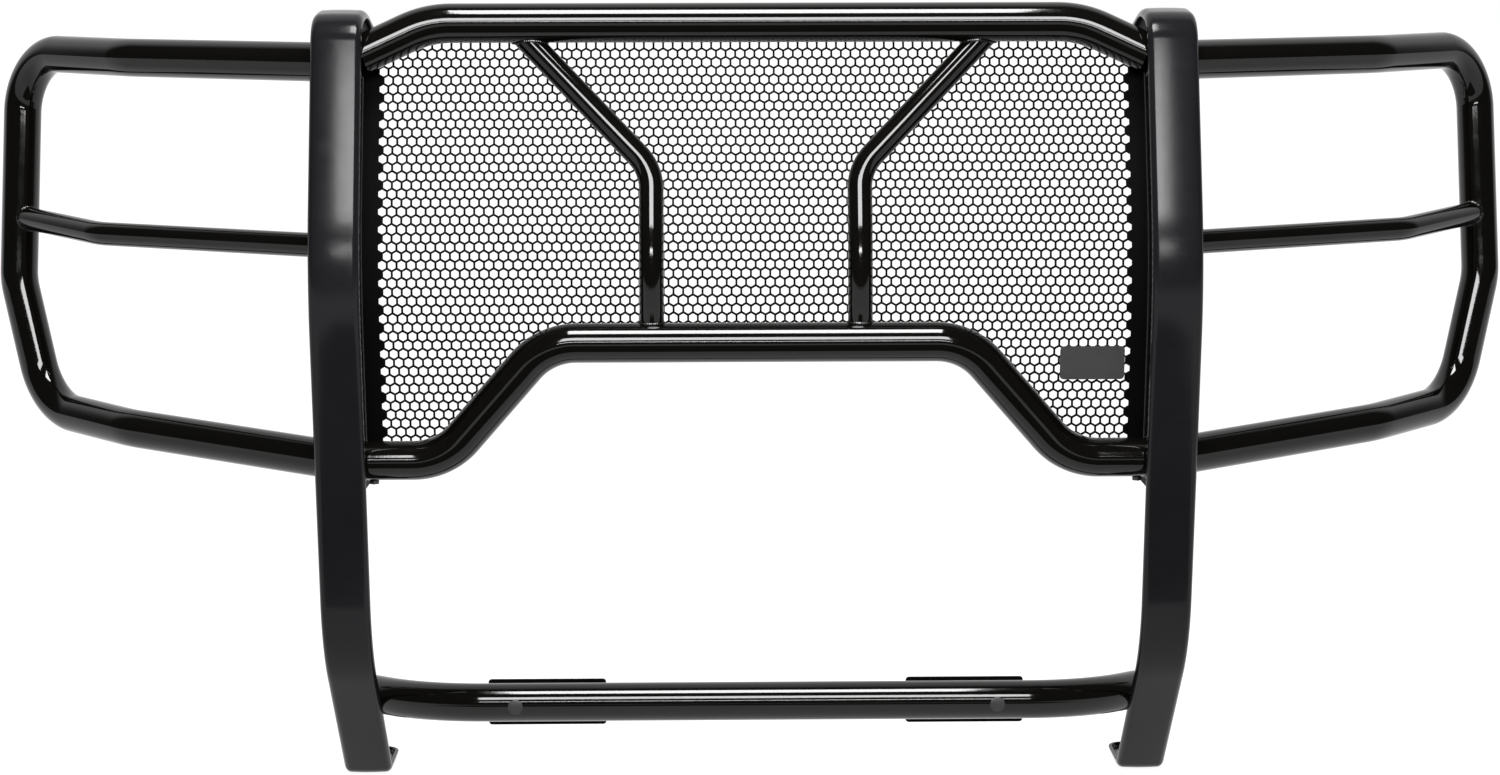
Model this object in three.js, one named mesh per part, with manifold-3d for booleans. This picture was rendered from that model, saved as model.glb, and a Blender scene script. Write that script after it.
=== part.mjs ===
// Front grille guard for a full-size pickup: a welded steel frame of two formed uprights, bent tubes and a
// perforated screen. Millimetres, -Y forward, +Z up. Left and right are as seen from the front, with +X
// to the right.
// While it is built, depth (Y) is counted back from the foremost line of the uprights and height (Z) from
// the underside of their feet. The finished group is then centred on the origin, standing on Z = 0.
import * as THREE from "three";
import { mergeVertices } from "three/addons/utils/BufferGeometryUtils.js";
import Module from "manifold-3d";

const wasm = await Module();
wasm.setup();

// Stock
const MAIN_TUBE_R = 25.4; // 2 in tube
const SLIM_TUBE_R = 15.875; // 1 1/4 in tube
const TUBE_WALL = 2.4;
const MAIN_TUBE_SIDES = 16;
const SLIM_TUBE_SIDES = 12;
const BEND_STEP = THREE.MathUtils.degToRad(15); // turn of a tube between two stations of a bend
const GAP = 0.4; // clearance left where two pieces meet
const FOOT_CURVE_STEPS = 4; // straight pieces in each rounded corner or slot end of a foot

// Uprights: side profile and section
const UPRIGHT_X = 533.9; // middle of the strap
const STRAP_WIDTH = 65;
const STRAP_THICKNESS = 5;
const STRAP_EDGE_R = 9; // its long edges are rolled back round this radius
const STRAP_DEPTH = 10; // from its face to the rims of the rolled edges
const LEAN_HEIGHT = 713.5; // above this the strap leans back
const LEAN_SLOPE = 0.29; // depth gained for each mm of height above it
const TILT_SLOPE = 0.081; // depth gained for each mm below it
const SWEEP_HEIGHT = 214; // below this the strap sweeps back under the bumper
const SWEEP_SLOPE = 0.84;
const CAP_FRONT = { depth: 91, height: 1033 };
const CAP_CREST = { depth: 163, height: 1044 };
const CAP_END = { depth: 243, height: 1020 };
const FOOT_LEVEL = -4; // height of the feet's undersides, which the whole guard is then raised by
const FOOT_END_DEPTH = 320;
const FOOT_CORNER_R = 20;
const FOOT_SLOT = { halfWidth: 6.5, from: 260, to: 292 }; // bolt slot, between these depths

// Side plates, behind the inner edge of each strap
const PLATE_THICKNESS = 5;
const PLATE_INNER_X = 507.8;
const PLATE_OUTER_X = PLATE_INNER_X + PLATE_THICKNESS;
const PLATE_SETBACK = 6.4; // from the strap's front face, clear of the roll of its edge
const PLATE_DEPTH = 126;
const PLATE_BOTTOM = 424;
const PLATE_CORNER_R = 28;

// Centre section
const TUBE_SETBACK = 46; // tube axis behind the strap's front face
const BRACE_SETBACK = 57;
const SCREEN_SETBACK = 76;
const TUBE_END_X = PLATE_INNER_X - GAP;
const TOP_TUBE = { height: 1024, cornerX: 421, endHeight: 984, bend: 130 };
const GRILLE_TUBE = { height: 618.5, cornerX: 270.5, dipX: 404.5, endHeight: 464.5, bend: 86 };
const BRACE = { x: 134, cornerHeight: 838, slope: 1.027, bend: 65, leanBend: 440 };
const SCREEN_THICKNESS = 2;
const SCREEN_BENDS = { from: 500, to: 860 }; // heights between which the screen follows the uprights' lean

// Lower cross tube with its two mounting plates
const CROSS_TUBE = { height: 131.2, depth: 101, endHeight: 123.8, endDepth: 175.3, cornerX: 438, bend: 196 };
const CROSS_TUBE_END_X = 516; // behind the strap
const MOUNTING_PLATE = { innerX: 200.5, outerX: 357.7, thickness: 4, bottom: -38, top: 24 };
const ACCESS_HOLE_X = 318.4;
const PLUG = { radius: 10, crown: 0.8, chamfer: 1.5, depth: 7 };
const PLATE_BOLT = { shankR: 5, headAcross: 17, headHeight: 6.4, nutHeight: 8, pastNut: 4, overlap: 1 };

// Wings
const WING_START_X = PLATE_OUTER_X + GAP;
const WING_HOOP_CORNERS = [
  { x: WING_START_X, depth: 124, height: 975 },
  { x: 547, depth: 124, height: 975, bend: 60 },
  { x: 837, depth: 269, height: 977.5, bend: 130 },
  { x: 1018, depth: 432, height: 980.5, bend: 75 },
  { x: 1024, depth: 375.5, height: 667, bend: 120 },
  { x: 982, depth: 341.5, height: 492, bend: 90 },
  { x: 837, depth: 211, height: 484, bend: 130 },
  { x: 547, depth: 66, height: 466, bend: 60 },
  { x: WING_START_X, depth: 66, height: 466 },
];
const WING_MID_CORNERS = [
  { x: WING_START_X, depth: 85.5, height: 741.5 },
  { x: 547, depth: 85.5, height: 741.5, bend: 60 },
  { x: 880, depth: 252, height: 743, bend: 100 },
  { x: 1022, depth: 389.5, height: 754 },
];

// Small parts
const TUBE_BOLT = { x: 495, shankR: 4, headAcross: 11.5, headHeight: 4.4, length: 16, overlap: 1, sides: 12 };
const BADGE = { x: 437, height: 586, width: 84, tall: 44, thickness: 3, cornerR: 6 };
const BADGE_CLAMP = { width: 60, tall: 22, thickness: 2 };

const BLACK_GLOSS = { color: 0x0b0b0c, roughness: 0.16, metalness: 0 };
const BLACK_SATIN = { color: 0x111214, roughness: 0.45, metalness: 0 };
const BLACK_PLASTIC = { color: 0x141414, roughness: 0.6, metalness: 0 };
const DARK_ZINC = { color: 0x2a2b2d, roughness: 0.4, metalness: 0.9 };

// ---- paths and solids ----

const point = (x, depth, height) => new THREE.Vector3(x, depth, height);

// A path of straight runs joined by circular bends. Its stations are the ends of each run and a few points
// in each bend, and t counts evenly through the stations, so that a straight run costs one step.
class BentPath extends THREE.Curve {
  constructor(corners) {
    super();
    this.stations = [];
    corners.forEach((corner, i) => {
      if (i === 0) this.addStation(corner.at, corners[1].at.clone().sub(corner.at));
      else if (i === corners.length - 1) this.addStation(corner.at, corner.at.clone().sub(corners[i - 1].at));
      else this.addBend(corners[i - 1].at, corner, corners[i + 1].at);
    });
    this.steps = this.stations.length - 1;
  }

  addStation(at, direction) {
    this.stations.push({ at: at.clone(), direction: direction.clone().normalize() });
  }

  addBend(before, corner, after) {
    const into = corner.at.clone().sub(before).normalize();
    const out = after.clone().sub(corner.at).normalize();
    const turn = into.angleTo(out);
    const start = corner.at.clone().addScaledVector(into, -corner.bend * Math.tan(turn / 2));
    const inward = out.clone().addScaledVector(into, -Math.cos(turn)).normalize();
    const parts = Math.max(1, Math.ceil(turn / BEND_STEP));
    for (let i = 0; i <= parts; i++) {
      const angle = (turn * i) / parts;
      const at = start.clone().addScaledVector(into, corner.bend * Math.sin(angle));
      at.addScaledVector(inward, corner.bend * (1 - Math.cos(angle)));
      const direction = into.clone().multiplyScalar(Math.cos(angle)).addScaledVector(inward, Math.sin(angle));
      this.addStation(at, direction);
    }
  }

  getPointAt(t) {
    return this.stations[Math.round(t * this.steps)].at.clone();
  }

  getTangentAt(t) {
    return this.stations[Math.round(t * this.steps)].direction.clone();
  }
}

const sweep = (section, path) =>
  new THREE.ExtrudeGeometry(section, { extrudePath: path, steps: path.steps, bevelEnabled: false });

function circle(radius, sides, Kind = THREE.Shape) {
  const outline = new Kind();
  for (let i = 0; i < sides; i++) {
    const angle = (2 * Math.PI * i) / sides;
    if (i === 0) outline.moveTo(radius, 0);
    else outline.lineTo(radius * Math.cos(angle), radius * Math.sin(angle));
  }
  outline.closePath();
  return outline;
}

function tube(corners, radius, sides) {
  const section = circle(radius, sides);
  section.holes.push(circle(radius - TUBE_WALL, sides, THREE.Path));
  return sweep(section, new BentPath(corners));
}

// The space that a tube takes up, with a clearance round it, for coping another tube against it.
const tubeSpace = (corners, radius, sides) => sweep(circle(radius + GAP, sides), new BentPath(corners));

// A flat outline in depth and height, made into a plate between two values of x.
function plateAcrossX(shape, fromX, toX) {
  const solid = new THREE.ExtrudeGeometry(shape, { depth: toX - fromX, steps: 1, bevelEnabled: false });
  const axes = [new THREE.Vector3(0, 1, 0), new THREE.Vector3(0, 0, 1), new THREE.Vector3(1, 0, 0)];
  return solid.applyMatrix4(new THREE.Matrix4().makeBasis(...axes)).translate(fromX, 0, 0);
}

// A flat outline in x and height, made into a block between two depths.
function blockAlongY(shape, fromDepth, toDepth) {
  const solid = new THREE.ExtrudeGeometry(shape, { depth: toDepth - fromDepth, steps: 1, bevelEnabled: false });
  return solid.rotateX(Math.PI / 2).translate(0, toDepth, 0);
}

function toSolid(geometry) {
  const bare = new THREE.BufferGeometry();
  bare.setAttribute("position", (geometry.index ? geometry.toNonIndexed() : geometry).getAttribute("position"));
  const merged = mergeVertices(bare, 1e-4);
  const mesh = { numProp: 3, vertProperties: merged.attributes.position.array, triVerts: merged.index.array };
  mesh.triVerts = new Uint32Array(mesh.triVerts);
  return new wasm.Manifold(new wasm.Mesh(mesh));
}

function fromSolid(solid) {
  const mesh = solid.getMesh();
  const geometry = new THREE.BufferGeometry();
  geometry.setAttribute("position", new THREE.BufferAttribute(mesh.vertProperties, 3));
  geometry.setIndex(new THREE.BufferAttribute(mesh.triVerts, 1));
  return geometry.toNonIndexed();
}

const cut = (geometry, ...tools) =>
  fromSolid(tools.reduce((solid, tool) => solid.subtract(toSolid(tool)), toSolid(geometry)));
const join = (a, b) => fromSolid(toSolid(a).add(toSolid(b)));
const common = (a, b) => fromSolid(toSolid(a).intersect(toSolid(b)));

// ---- where things lie ----

// Depth of the uprights' front face at a height, without the rounding of its bends.
function frontDepth(height) {
  if (height > LEAN_HEIGHT) return (height - LEAN_HEIGHT) * LEAN_SLOPE;
  const tilt = (LEAN_HEIGHT - Math.max(height, SWEEP_HEIGHT)) * TILT_SLOPE;
  return tilt + Math.max(0, SWEEP_HEIGHT - height) * SWEEP_SLOPE;
}

// Depth of a line that runs a given distance behind the uprights' front face.
function depthBehind(height, setback) {
  const slope = height > LEAN_HEIGHT ? LEAN_SLOPE : TILT_SLOPE;
  return frontDepth(height) + setback * Math.hypot(1, slope);
}

// The side profile of an upright, moved back square to itself by a setback, from its foot to its cap.
function profile(setback) {
  const corners = [
    { depth: FOOT_END_DEPTH, height: FOOT_LEVEL },
    { depth: frontDepth(FOOT_LEVEL), height: FOOT_LEVEL, bend: 26 },
    { depth: frontDepth(SWEEP_HEIGHT), height: SWEEP_HEIGHT, bend: 210 },
    { depth: 0, height: LEAN_HEIGHT, bend: 500 },
    { ...CAP_FRONT, bend: 48 },
    { ...CAP_CREST, bend: 110 },
    CAP_END,
  ];
  const at = corners.map((c) => new THREE.Vector2(c.depth, c.height));
  const along = at.slice(1).map((p, i) => p.clone().sub(at[i]).normalize());
  return corners.map((corner, i) => {
    const before = along[Math.max(i - 1, 0)];
    const after = along[Math.min(i, along.length - 1)];
    const half = before.clone().add(after).normalize();
    const shift = setback / half.dot(after);
    const moved = at[i].clone().add(new THREE.Vector2(half.y, -half.x).multiplyScalar(shift));
    const bend = corner.bend && corner.bend - setback * bendSide(before, after);
    return { depth: moved.x, height: moved.y, bend };
  });
}

// +1 where a profile turns round its back, as at the cap and the foot, and -1 where it turns the other way.
const bendSide = (before, after) => (before.cross(after) < 0 ? 1 : -1);

const placed = (x, corner) => ({ at: point(x, corner.depth, corner.height), bend: corner.bend });
const withX = (x, corners) => corners.map((corner) => placed(x, corner));
const mirrored = (side, corners) => corners.map((corner) => placed(side * corner.x, corner));

// ---- pieces ----

// Section of the strap, a shallow channel with rolled edges. Its x is forward and its y runs across.
function strapSection() {
  const side = STRAP_WIDTH / 2;
  const flat = side - STRAP_EDGE_R;
  const inner = side - STRAP_THICKNESS;
  const innerR = STRAP_EDGE_R - STRAP_THICKNESS;
  const quarter = Math.PI / 2;
  const shape = new THREE.Shape();
  shape.absarc(-STRAP_EDGE_R, flat, STRAP_EDGE_R, 0, quarter, false);
  shape.lineTo(-STRAP_DEPTH, side);
  shape.lineTo(-STRAP_DEPTH, inner);
  shape.absarc(-STRAP_EDGE_R, flat, innerR, quarter, 0, true);
  shape.absarc(-STRAP_EDGE_R, -flat, innerR, 0, -quarter, true);
  shape.lineTo(-STRAP_DEPTH, -inner);
  shape.lineTo(-STRAP_DEPTH, -side);
  shape.absarc(-STRAP_EDGE_R, -flat, STRAP_EDGE_R, -quarter, 0, false);
  shape.closePath();
  return shape;
}

// A flat outline in x and depth, made into a block through the strap's foot.
function throughFoot(shape) {
  const depth = 4 * STRAP_DEPTH;
  const options = { depth, steps: 1, curveSegments: FOOT_CURVE_STEPS, bevelEnabled: false };
  return new THREE.ExtrudeGeometry(shape, options).translate(0, 0, FOOT_LEVEL - depth / 2);
}

function footSlot(x) {
  const { halfWidth, from, to } = FOOT_SLOT;
  const shape = new THREE.Shape();
  shape.absarc(x, to - halfWidth, halfWidth, 0, Math.PI, false);
  shape.absarc(x, from + halfWidth, halfWidth, Math.PI, 2 * Math.PI, false);
  shape.closePath();
  return throughFoot(shape);
}

// What is cut off one rear corner of a foot to round it. The foot's own corner is on the outward side of x.
function footCornerWaste(x, outward) {
  const edge = x + outward * (STRAP_WIDTH / 2);
  const centre = { x: edge - outward * FOOT_CORNER_R, depth: FOOT_END_DEPTH - FOOT_CORNER_R };
  const shape = new THREE.Shape();
  shape.absarc(centre.x, centre.depth, FOOT_CORNER_R, Math.PI / 2, outward > 0 ? 0 : Math.PI, outward > 0);
  shape.lineTo(edge + outward, centre.depth);
  shape.lineTo(edge + outward, FOOT_END_DEPTH + 1);
  shape.lineTo(centre.x, FOOT_END_DEPTH + 1);
  shape.closePath();
  return throughFoot(shape);
}

// Strap bent along its side profile, with a slotted foot.
function upright(side) {
  const x = side * UPRIGHT_X;
  const path = new BentPath(withX(x, profile(0)));
  const options = { extrudePath: path, steps: path.steps, curveSegments: 3, bevelEnabled: false };
  const strap = new THREE.ExtrudeGeometry(strapSection(), options);
  return cut(strap, footSlot(x), footCornerWaste(x, -1), footCornerWaste(x, 1));
}

// Plate welded to the strap's back near its inner edge. Its front follows the strap, and it is cut off
// below the lower grille tube with rounded corners.
function sidePlate(side) {
  const cornerTop = PLATE_BOTTOM + PLATE_CORNER_R;
  const front = (height) => depthBehind(height, PLATE_SETBACK);
  const rear = (height) => depthBehind(height, PLATE_DEPTH);
  const strapBack = new BentPath(withX(0, profile(PLATE_SETBACK))).stations.map((s) => s.at);
  const shape = new THREE.Shape();
  shape.moveTo(front(PLATE_BOTTOM) + PLATE_CORNER_R, PLATE_BOTTOM);
  shape.quadraticCurveTo(front(PLATE_BOTTOM), PLATE_BOTTOM, front(cornerTop), cornerTop);
  strapBack.filter((p) => p.z > cornerTop).forEach((p) => shape.lineTo(p.y, p.z));
  shape.lineTo(rear(LEAN_HEIGHT), LEAN_HEIGHT);
  shape.lineTo(rear(cornerTop), cornerTop);
  shape.quadraticCurveTo(rear(PLATE_BOTTOM), PLATE_BOTTOM, rear(PLATE_BOTTOM) - PLATE_CORNER_R, PLATE_BOTTOM);
  shape.closePath();
  const faces = [side * PLATE_INNER_X, side * PLATE_OUTER_X];
  return plateAcrossX(shape, Math.min(...faces), Math.max(...faces));
}

const tubeAxisPoint = (x, height, bend) => ({ at: point(x, depthBehind(height, TUBE_SETBACK), height), bend });

const bothSides = (leftHalf) => [
  ...leftHalf.map((c) => ({ at: c.at.clone().setX(-c.at.x), bend: c.bend })),
  ...leftHalf.slice().reverse(),
];

const topTubeCorners = () =>
  bothSides([
    tubeAxisPoint(TUBE_END_X, TOP_TUBE.endHeight),
    tubeAxisPoint(TOP_TUBE.cornerX, TOP_TUBE.height, TOP_TUBE.bend),
  ]);

const grilleTubeCorners = () =>
  bothSides([
    tubeAxisPoint(TUBE_END_X, GRILLE_TUBE.endHeight),
    tubeAxisPoint(GRILLE_TUBE.dipX, GRILLE_TUBE.endHeight, GRILLE_TUBE.bend),
    tubeAxisPoint(GRILLE_TUBE.cornerX, GRILLE_TUBE.height, GRILLE_TUBE.bend),
  ]);

const crossTubeCorners = () =>
  bothSides([
    { at: point(CROSS_TUBE_END_X, CROSS_TUBE.endDepth, CROSS_TUBE.endHeight) },
    { at: point(CROSS_TUBE.cornerX, CROSS_TUBE.depth, CROSS_TUBE.height), bend: CROSS_TUBE.bend },
  ]);

const mainTube = (corners) => tube(corners, MAIN_TUBE_R, MAIN_TUBE_SIDES);

// A main tube whose two ends are cut off flat at plus and minus x, whatever the slope of its end runs.
function trimmedTube(corners, endX) {
  const lengthened = corners.map((c) => ({ ...c }));
  for (const [end, next] of [[0, 1], [corners.length - 1, corners.length - 2]]) {
    const outward = corners[end].at.clone().sub(corners[next].at).normalize();
    lengthened[end].at = corners[end].at.clone().addScaledVector(outward, MAIN_TUBE_R);
  }
  const between = new THREE.BoxGeometry(2 * endX, 4 * LEAN_HEIGHT, 4 * LEAN_HEIGHT);
  return common(mainTube(lengthened), between);
}

const mainTubeSpace = (corners) => tubeSpace(corners, MAIN_TUBE_R, MAIN_TUBE_SIDES);

// Brace from the lower grille tube straight up, then out along a diagonal to the top tube, coped at both ends.
function brace(side) {
  const topX = BRACE.x + (TOP_TUBE.height - BRACE.cornerHeight) / BRACE.slope;
  const axis = (x, height, bend) => ({ at: point(side * x, depthBehind(height, BRACE_SETBACK), height), bend });
  const corners = [
    axis(BRACE.x, GRILLE_TUBE.height),
    axis(BRACE.x, LEAN_HEIGHT, BRACE.leanBend),
    axis(BRACE.x, BRACE.cornerHeight, BRACE.bend),
    axis(topX, TOP_TUBE.height),
  ];
  const plain = tube(corners, SLIM_TUBE_R, SLIM_TUBE_SIDES);
  return cut(plain, mainTubeSpace(grilleTubeCorners()), mainTubeSpace(topTubeCorners()));
}

// Sheet behind the tubes, bent like the uprights, with its edges hidden behind the tubes.
function grilleScreen() {
  const back = SCREEN_SETBACK + SCREEN_THICKNESS;
  const edge = (setback) => new BentPath(withX(0, profile(setback))).stations.map((s) => s.at);
  const onScreen = (p) => p.z > SCREEN_BENDS.from && p.z < SCREEN_BENDS.to;
  const heights = { low: GRILLE_TUBE.endHeight - MAIN_TUBE_R, high: TOP_TUBE.height + MAIN_TUBE_R };
  const line = (setback) => [
    new THREE.Vector2(depthBehind(heights.low, setback), heights.low),
    ...edge(setback).filter(onScreen).map((p) => new THREE.Vector2(p.y, p.z)),
    new THREE.Vector2(depthBehind(heights.high, setback), heights.high),
  ];
  const strip = new THREE.Shape([...line(SCREEN_SETBACK), ...line(back).reverse()]);
  const halfWidth = TUBE_END_X - GAP;
  const right = [
    [GRILLE_TUBE.cornerX, GRILLE_TUBE.height],
    [GRILLE_TUBE.dipX, GRILLE_TUBE.endHeight],
    [halfWidth, GRILLE_TUBE.endHeight],
    [halfWidth, TOP_TUBE.endHeight],
    [TOP_TUBE.cornerX, TOP_TUBE.height],
  ];
  const left = right.slice().reverse().map(([x, height]) => [-x, height]);
  const outline = new THREE.Shape([...right, ...left].map(([x, height]) => new THREE.Vector2(x, height)));
  return common(plateAcrossX(strip, -halfWidth, halfWidth), blockAlongY(outline, 0, UPRIGHT_X));
}

const wingHoop = (side) => mainTube(mirrored(side, WING_HOOP_CORNERS));

function wingMidTube(side) {
  const plain = tube(mirrored(side, WING_MID_CORNERS), SLIM_TUBE_R, SLIM_TUBE_SIDES);
  return cut(plain, mainTubeSpace(mirrored(side, WING_HOOP_CORNERS)));
}

// A round bar along Y, from one depth to another.
const pin = (radius, x, height, fromDepth, toDepth, sides = MAIN_TUBE_SIDES) =>
  new THREE.CylinderGeometry(radius, radius, toDepth - fromDepth, sides)
    .translate(0, (fromDepth + toDepth) / 2, 0)
    .translate(x, 0, height);

function hexPrism(across, length) {
  const radius = across / Math.sqrt(3);
  return new THREE.CylinderGeometry(radius, radius, length, 6);
}

// The space ahead of a strap's rims where it sweeps back, which the end of the lower cross tube is cut to.
function strapSpace(side) {
  const behind = (height) => frontDepth(height) + (STRAP_DEPTH + GAP) * Math.hypot(1, SWEEP_SLOPE);
  const shape = new THREE.Shape();
  shape.moveTo(0, 0);
  shape.lineTo(behind(0), 0);
  shape.lineTo(behind(SWEEP_HEIGHT), SWEEP_HEIGHT);
  shape.lineTo(0, SWEEP_HEIGHT);
  shape.closePath();
  const faces = [side * (UPRIGHT_X - STRAP_WIDTH / 2 - GAP), side * UPRIGHT_X];
  return plateAcrossX(shape, Math.min(...faces), Math.max(...faces));
}

// Lower cross tube, with an access hole in its front wall and a bolt hole in its rear wall for each plate.
function lowerCrossTube() {
  const tools = [];
  for (const side of [-1, 1]) {
    tools.push(strapSpace(side));
    const x = side * ACCESS_HOLE_X;
    const [front, middle, back] = [-2, 0, 2].map((radii) => CROSS_TUBE.depth + radii * MAIN_TUBE_R);
    tools.push(pin(PLUG.radius + GAP, x, CROSS_TUBE.height, front, middle));
    tools.push(pin(PLATE_BOLT.shankR + GAP, x, CROSS_TUBE.height, middle, back));
  }
  return cut(trimmedTube(crossTubeCorners(), CROSS_TUBE_END_X), ...tools);
}

const plateFace = () => CROSS_TUBE.depth + MAIN_TUBE_R + GAP;

function mountingPlate(side) {
  const { innerX, outerX, thickness, bottom, top } = MOUNTING_PLATE;
  const shape = new THREE.Shape();
  shape.moveTo(innerX, CROSS_TUBE.height + bottom);
  shape.lineTo(outerX, CROSS_TUBE.height + bottom);
  shape.lineTo(outerX, CROSS_TUBE.height + top);
  shape.lineTo(innerX, CROSS_TUBE.height + top);
  shape.closePath();
  const slab = blockAlongY(shape, plateFace(), plateFace() + thickness);
  if (side < 0) slab.rotateZ(Math.PI).translate(0, 2 * plateFace() + thickness, 0);
  const hole = pin(PLATE_BOLT.shankR + GAP, side * ACCESS_HOLE_X, CROSS_TUBE.height, 0, UPRIGHT_X);
  return cut(slab, hole);
}

// Domed plastic plug in the access hole. It is turned about an axis along Y.
function tubePlug(side) {
  const { radius, crown, chamfer, depth } = PLUG;
  const outline = [
    [0, -depth],
    [radius - chamfer, -depth],
    [radius, chamfer - depth],
    [radius, -crown],
    [radius - chamfer, crown / 2],
    [0, crown],
  ].map(([r, y]) => new THREE.Vector2(r, MAIN_TUBE_R + y));
  return new THREE.LatheGeometry(outline, MAIN_TUBE_SIDES)
    .rotateX(Math.PI)
    .translate(side * ACCESS_HOLE_X, CROSS_TUBE.depth, CROSS_TUBE.height);
}

// Bolt behind each plug: its head bears inside the tube's rear wall and its shank passes through the plate.
function plateBolt(side) {
  const innerR = MAIN_TUBE_R - TUBE_WALL;
  const seat = CROSS_TUBE.depth + Math.sqrt(innerR ** 2 - PLATE_BOLT.headAcross ** 2 / 3) - 2 * GAP;
  const head = hexPrism(PLATE_BOLT.headAcross, PLATE_BOLT.headHeight)
    .translate(side * ACCESS_HOLE_X, seat - PLATE_BOLT.headHeight / 2, CROSS_TUBE.height);
  const end = plateFace() + MOUNTING_PLATE.thickness + PLATE_BOLT.nutHeight + PLATE_BOLT.pastNut;
  const start = seat - PLATE_BOLT.overlap;
  return join(head, pin(PLATE_BOLT.shankR, side * ACCESS_HOLE_X, CROSS_TUBE.height, start, end));
}

function plateNut(side) {
  const face = plateFace() + MOUNTING_PLATE.thickness + GAP;
  const body = hexPrism(PLATE_BOLT.headAcross, PLATE_BOLT.nutHeight)
    .translate(side * ACCESS_HOLE_X, face + PLATE_BOLT.nutHeight / 2, CROSS_TUBE.height);
  return cut(body, pin(PLATE_BOLT.shankR + GAP, side * ACCESS_HOLE_X, CROSS_TUBE.height, 0, UPRIGHT_X));
}

// A round bar that stands on end at a height.
const post = (radius, length, x, depth, height) =>
  new THREE.CylinderGeometry(radius, radius, length, TUBE_BOLT.sides)
    .rotateX(Math.PI / 2)
    .translate(x, depth, height);

// Screw under each end of the lower grille tube, head down.
function tubeBolt(side) {
  const { headAcross, headHeight, shankR, length, overlap } = TUBE_BOLT;
  const seat = GRILLE_TUBE.endHeight - MAIN_TUBE_R - GAP;
  const x = side * TUBE_BOLT.x;
  const depth = depthBehind(GRILLE_TUBE.endHeight, TUBE_SETBACK);
  const head = hexPrism(headAcross, headHeight).rotateX(Math.PI / 2).translate(x, depth, seat - headHeight / 2);
  return join(head, post(shankR, length, x, depth, seat - overlap + length / 2));
}

function lowerGrilleTube() {
  const depth = depthBehind(GRILLE_TUBE.endHeight, TUBE_SETBACK);
  const low = GRILLE_TUBE.endHeight - MAIN_TUBE_R;
  const hole = (side) => post(TUBE_BOLT.shankR + GAP, MAIN_TUBE_R, side * TUBE_BOLT.x, depth, low);
  return cut(mainTube(grilleTubeCorners()), hole(-1), hole(1));
}

function roundedPlate(width, tall, cornerR, thickness) {
  const x = width / 2 - cornerR;
  const y = tall / 2 - cornerR;
  const shape = new THREE.Shape();
  shape.absarc(x, y, cornerR, 0, Math.PI / 2, false);
  shape.absarc(-x, y, cornerR, Math.PI / 2, Math.PI, false);
  shape.absarc(-x, -y, cornerR, Math.PI, 1.5 * Math.PI, false);
  shape.absarc(x, -y, cornerR, 1.5 * Math.PI, 2 * Math.PI, false);
  shape.closePath();
  const options = { depth: thickness, steps: 1, curveSegments: 3, bevelEnabled: false };
  return new THREE.ExtrudeGeometry(shape, options);
}

// Stands a plate that lies in its own x and y up against the screen, facing forward, at a height.
function onScreenAt(geometry, x, height, setback) {
  const tilt = Math.atan(TILT_SLOPE);
  return geometry.rotateX(Math.PI / 2 + tilt).translate(x, depthBehind(height, setback), height);
}

const badgePlate = () =>
  onScreenAt(
    roundedPlate(BADGE.width, BADGE.tall, BADGE.cornerR, BADGE.thickness),
    BADGE.x,
    BADGE.height,
    SCREEN_SETBACK - GAP,
  );

const badgeClamp = () =>
  onScreenAt(
    roundedPlate(BADGE_CLAMP.width, BADGE_CLAMP.tall, BADGE_CLAMP.tall / 5, BADGE_CLAMP.thickness),
    BADGE.x,
    BADGE.height,
    SCREEN_SETBACK + SCREEN_THICKNESS + BADGE_CLAMP.thickness + GAP,
  );

// ---- assembly ----

const guard = new THREE.Group();

function addPiece(name, geometry, finish) {
  const mesh = new THREE.Mesh(geometry, new THREE.MeshStandardMaterial(finish));
  mesh.name = name;
  guard.add(mesh);
}

addPiece("top_tube", trimmedTube(topTubeCorners(), TUBE_END_X), BLACK_GLOSS);
addPiece("lower_grille_tube", lowerGrilleTube(), BLACK_GLOSS);
addPiece("grille_screen", grilleScreen(), BLACK_SATIN);
addPiece("lower_cross_tube", lowerCrossTube(), BLACK_GLOSS);
addPiece("badge_plate", badgePlate(), BLACK_SATIN);
addPiece("badge_clamp", badgeClamp(), DARK_ZINC);

for (const [name, side] of [["left", -1], ["right", 1]]) {
  addPiece(`${name}_upright`, upright(side), BLACK_SATIN);
  addPiece(`${name}_side_plate`, sidePlate(side), BLACK_SATIN);
  addPiece(`${name}_brace_tube`, brace(side), BLACK_GLOSS);
  addPiece(`${name}_wing_hoop`, wingHoop(side), BLACK_GLOSS);
  addPiece(`${name}_wing_mid_tube`, wingMidTube(side), BLACK_GLOSS);
  addPiece(`${name}_mounting_plate`, mountingPlate(side), BLACK_SATIN);
  addPiece(`${name}_plate_bolt`, plateBolt(side), DARK_ZINC);
  addPiece(`${name}_plate_nut`, plateNut(side), DARK_ZINC);
  addPiece(`${name}_tube_plug`, tubePlug(side), BLACK_PLASTIC);
  addPiece(`${name}_tube_bolt`, tubeBolt(side), DARK_ZINC);
}

const part = new THREE.Group();
const box = new THREE.Box3().setFromObject(guard);
guard.position.set(0, -(box.min.y + box.max.y) / 2, -box.min.z);
part.add(guard);

export default part;
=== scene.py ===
"""Looks of the front grille guard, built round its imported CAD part.

Lengths in the tables below are millimetres, counted as in the part: x across, depth back from the uprights'
foremost line, height above a level just over the undersides of the feet, which lie at FOOT_LEVEL. at() turns
them into metres in the part's frame.
"""

import math
import random

import bmesh
import bpy
import numpy as np
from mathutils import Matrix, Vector
from mathutils.geometry import delaunay_2d_cdt

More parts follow.
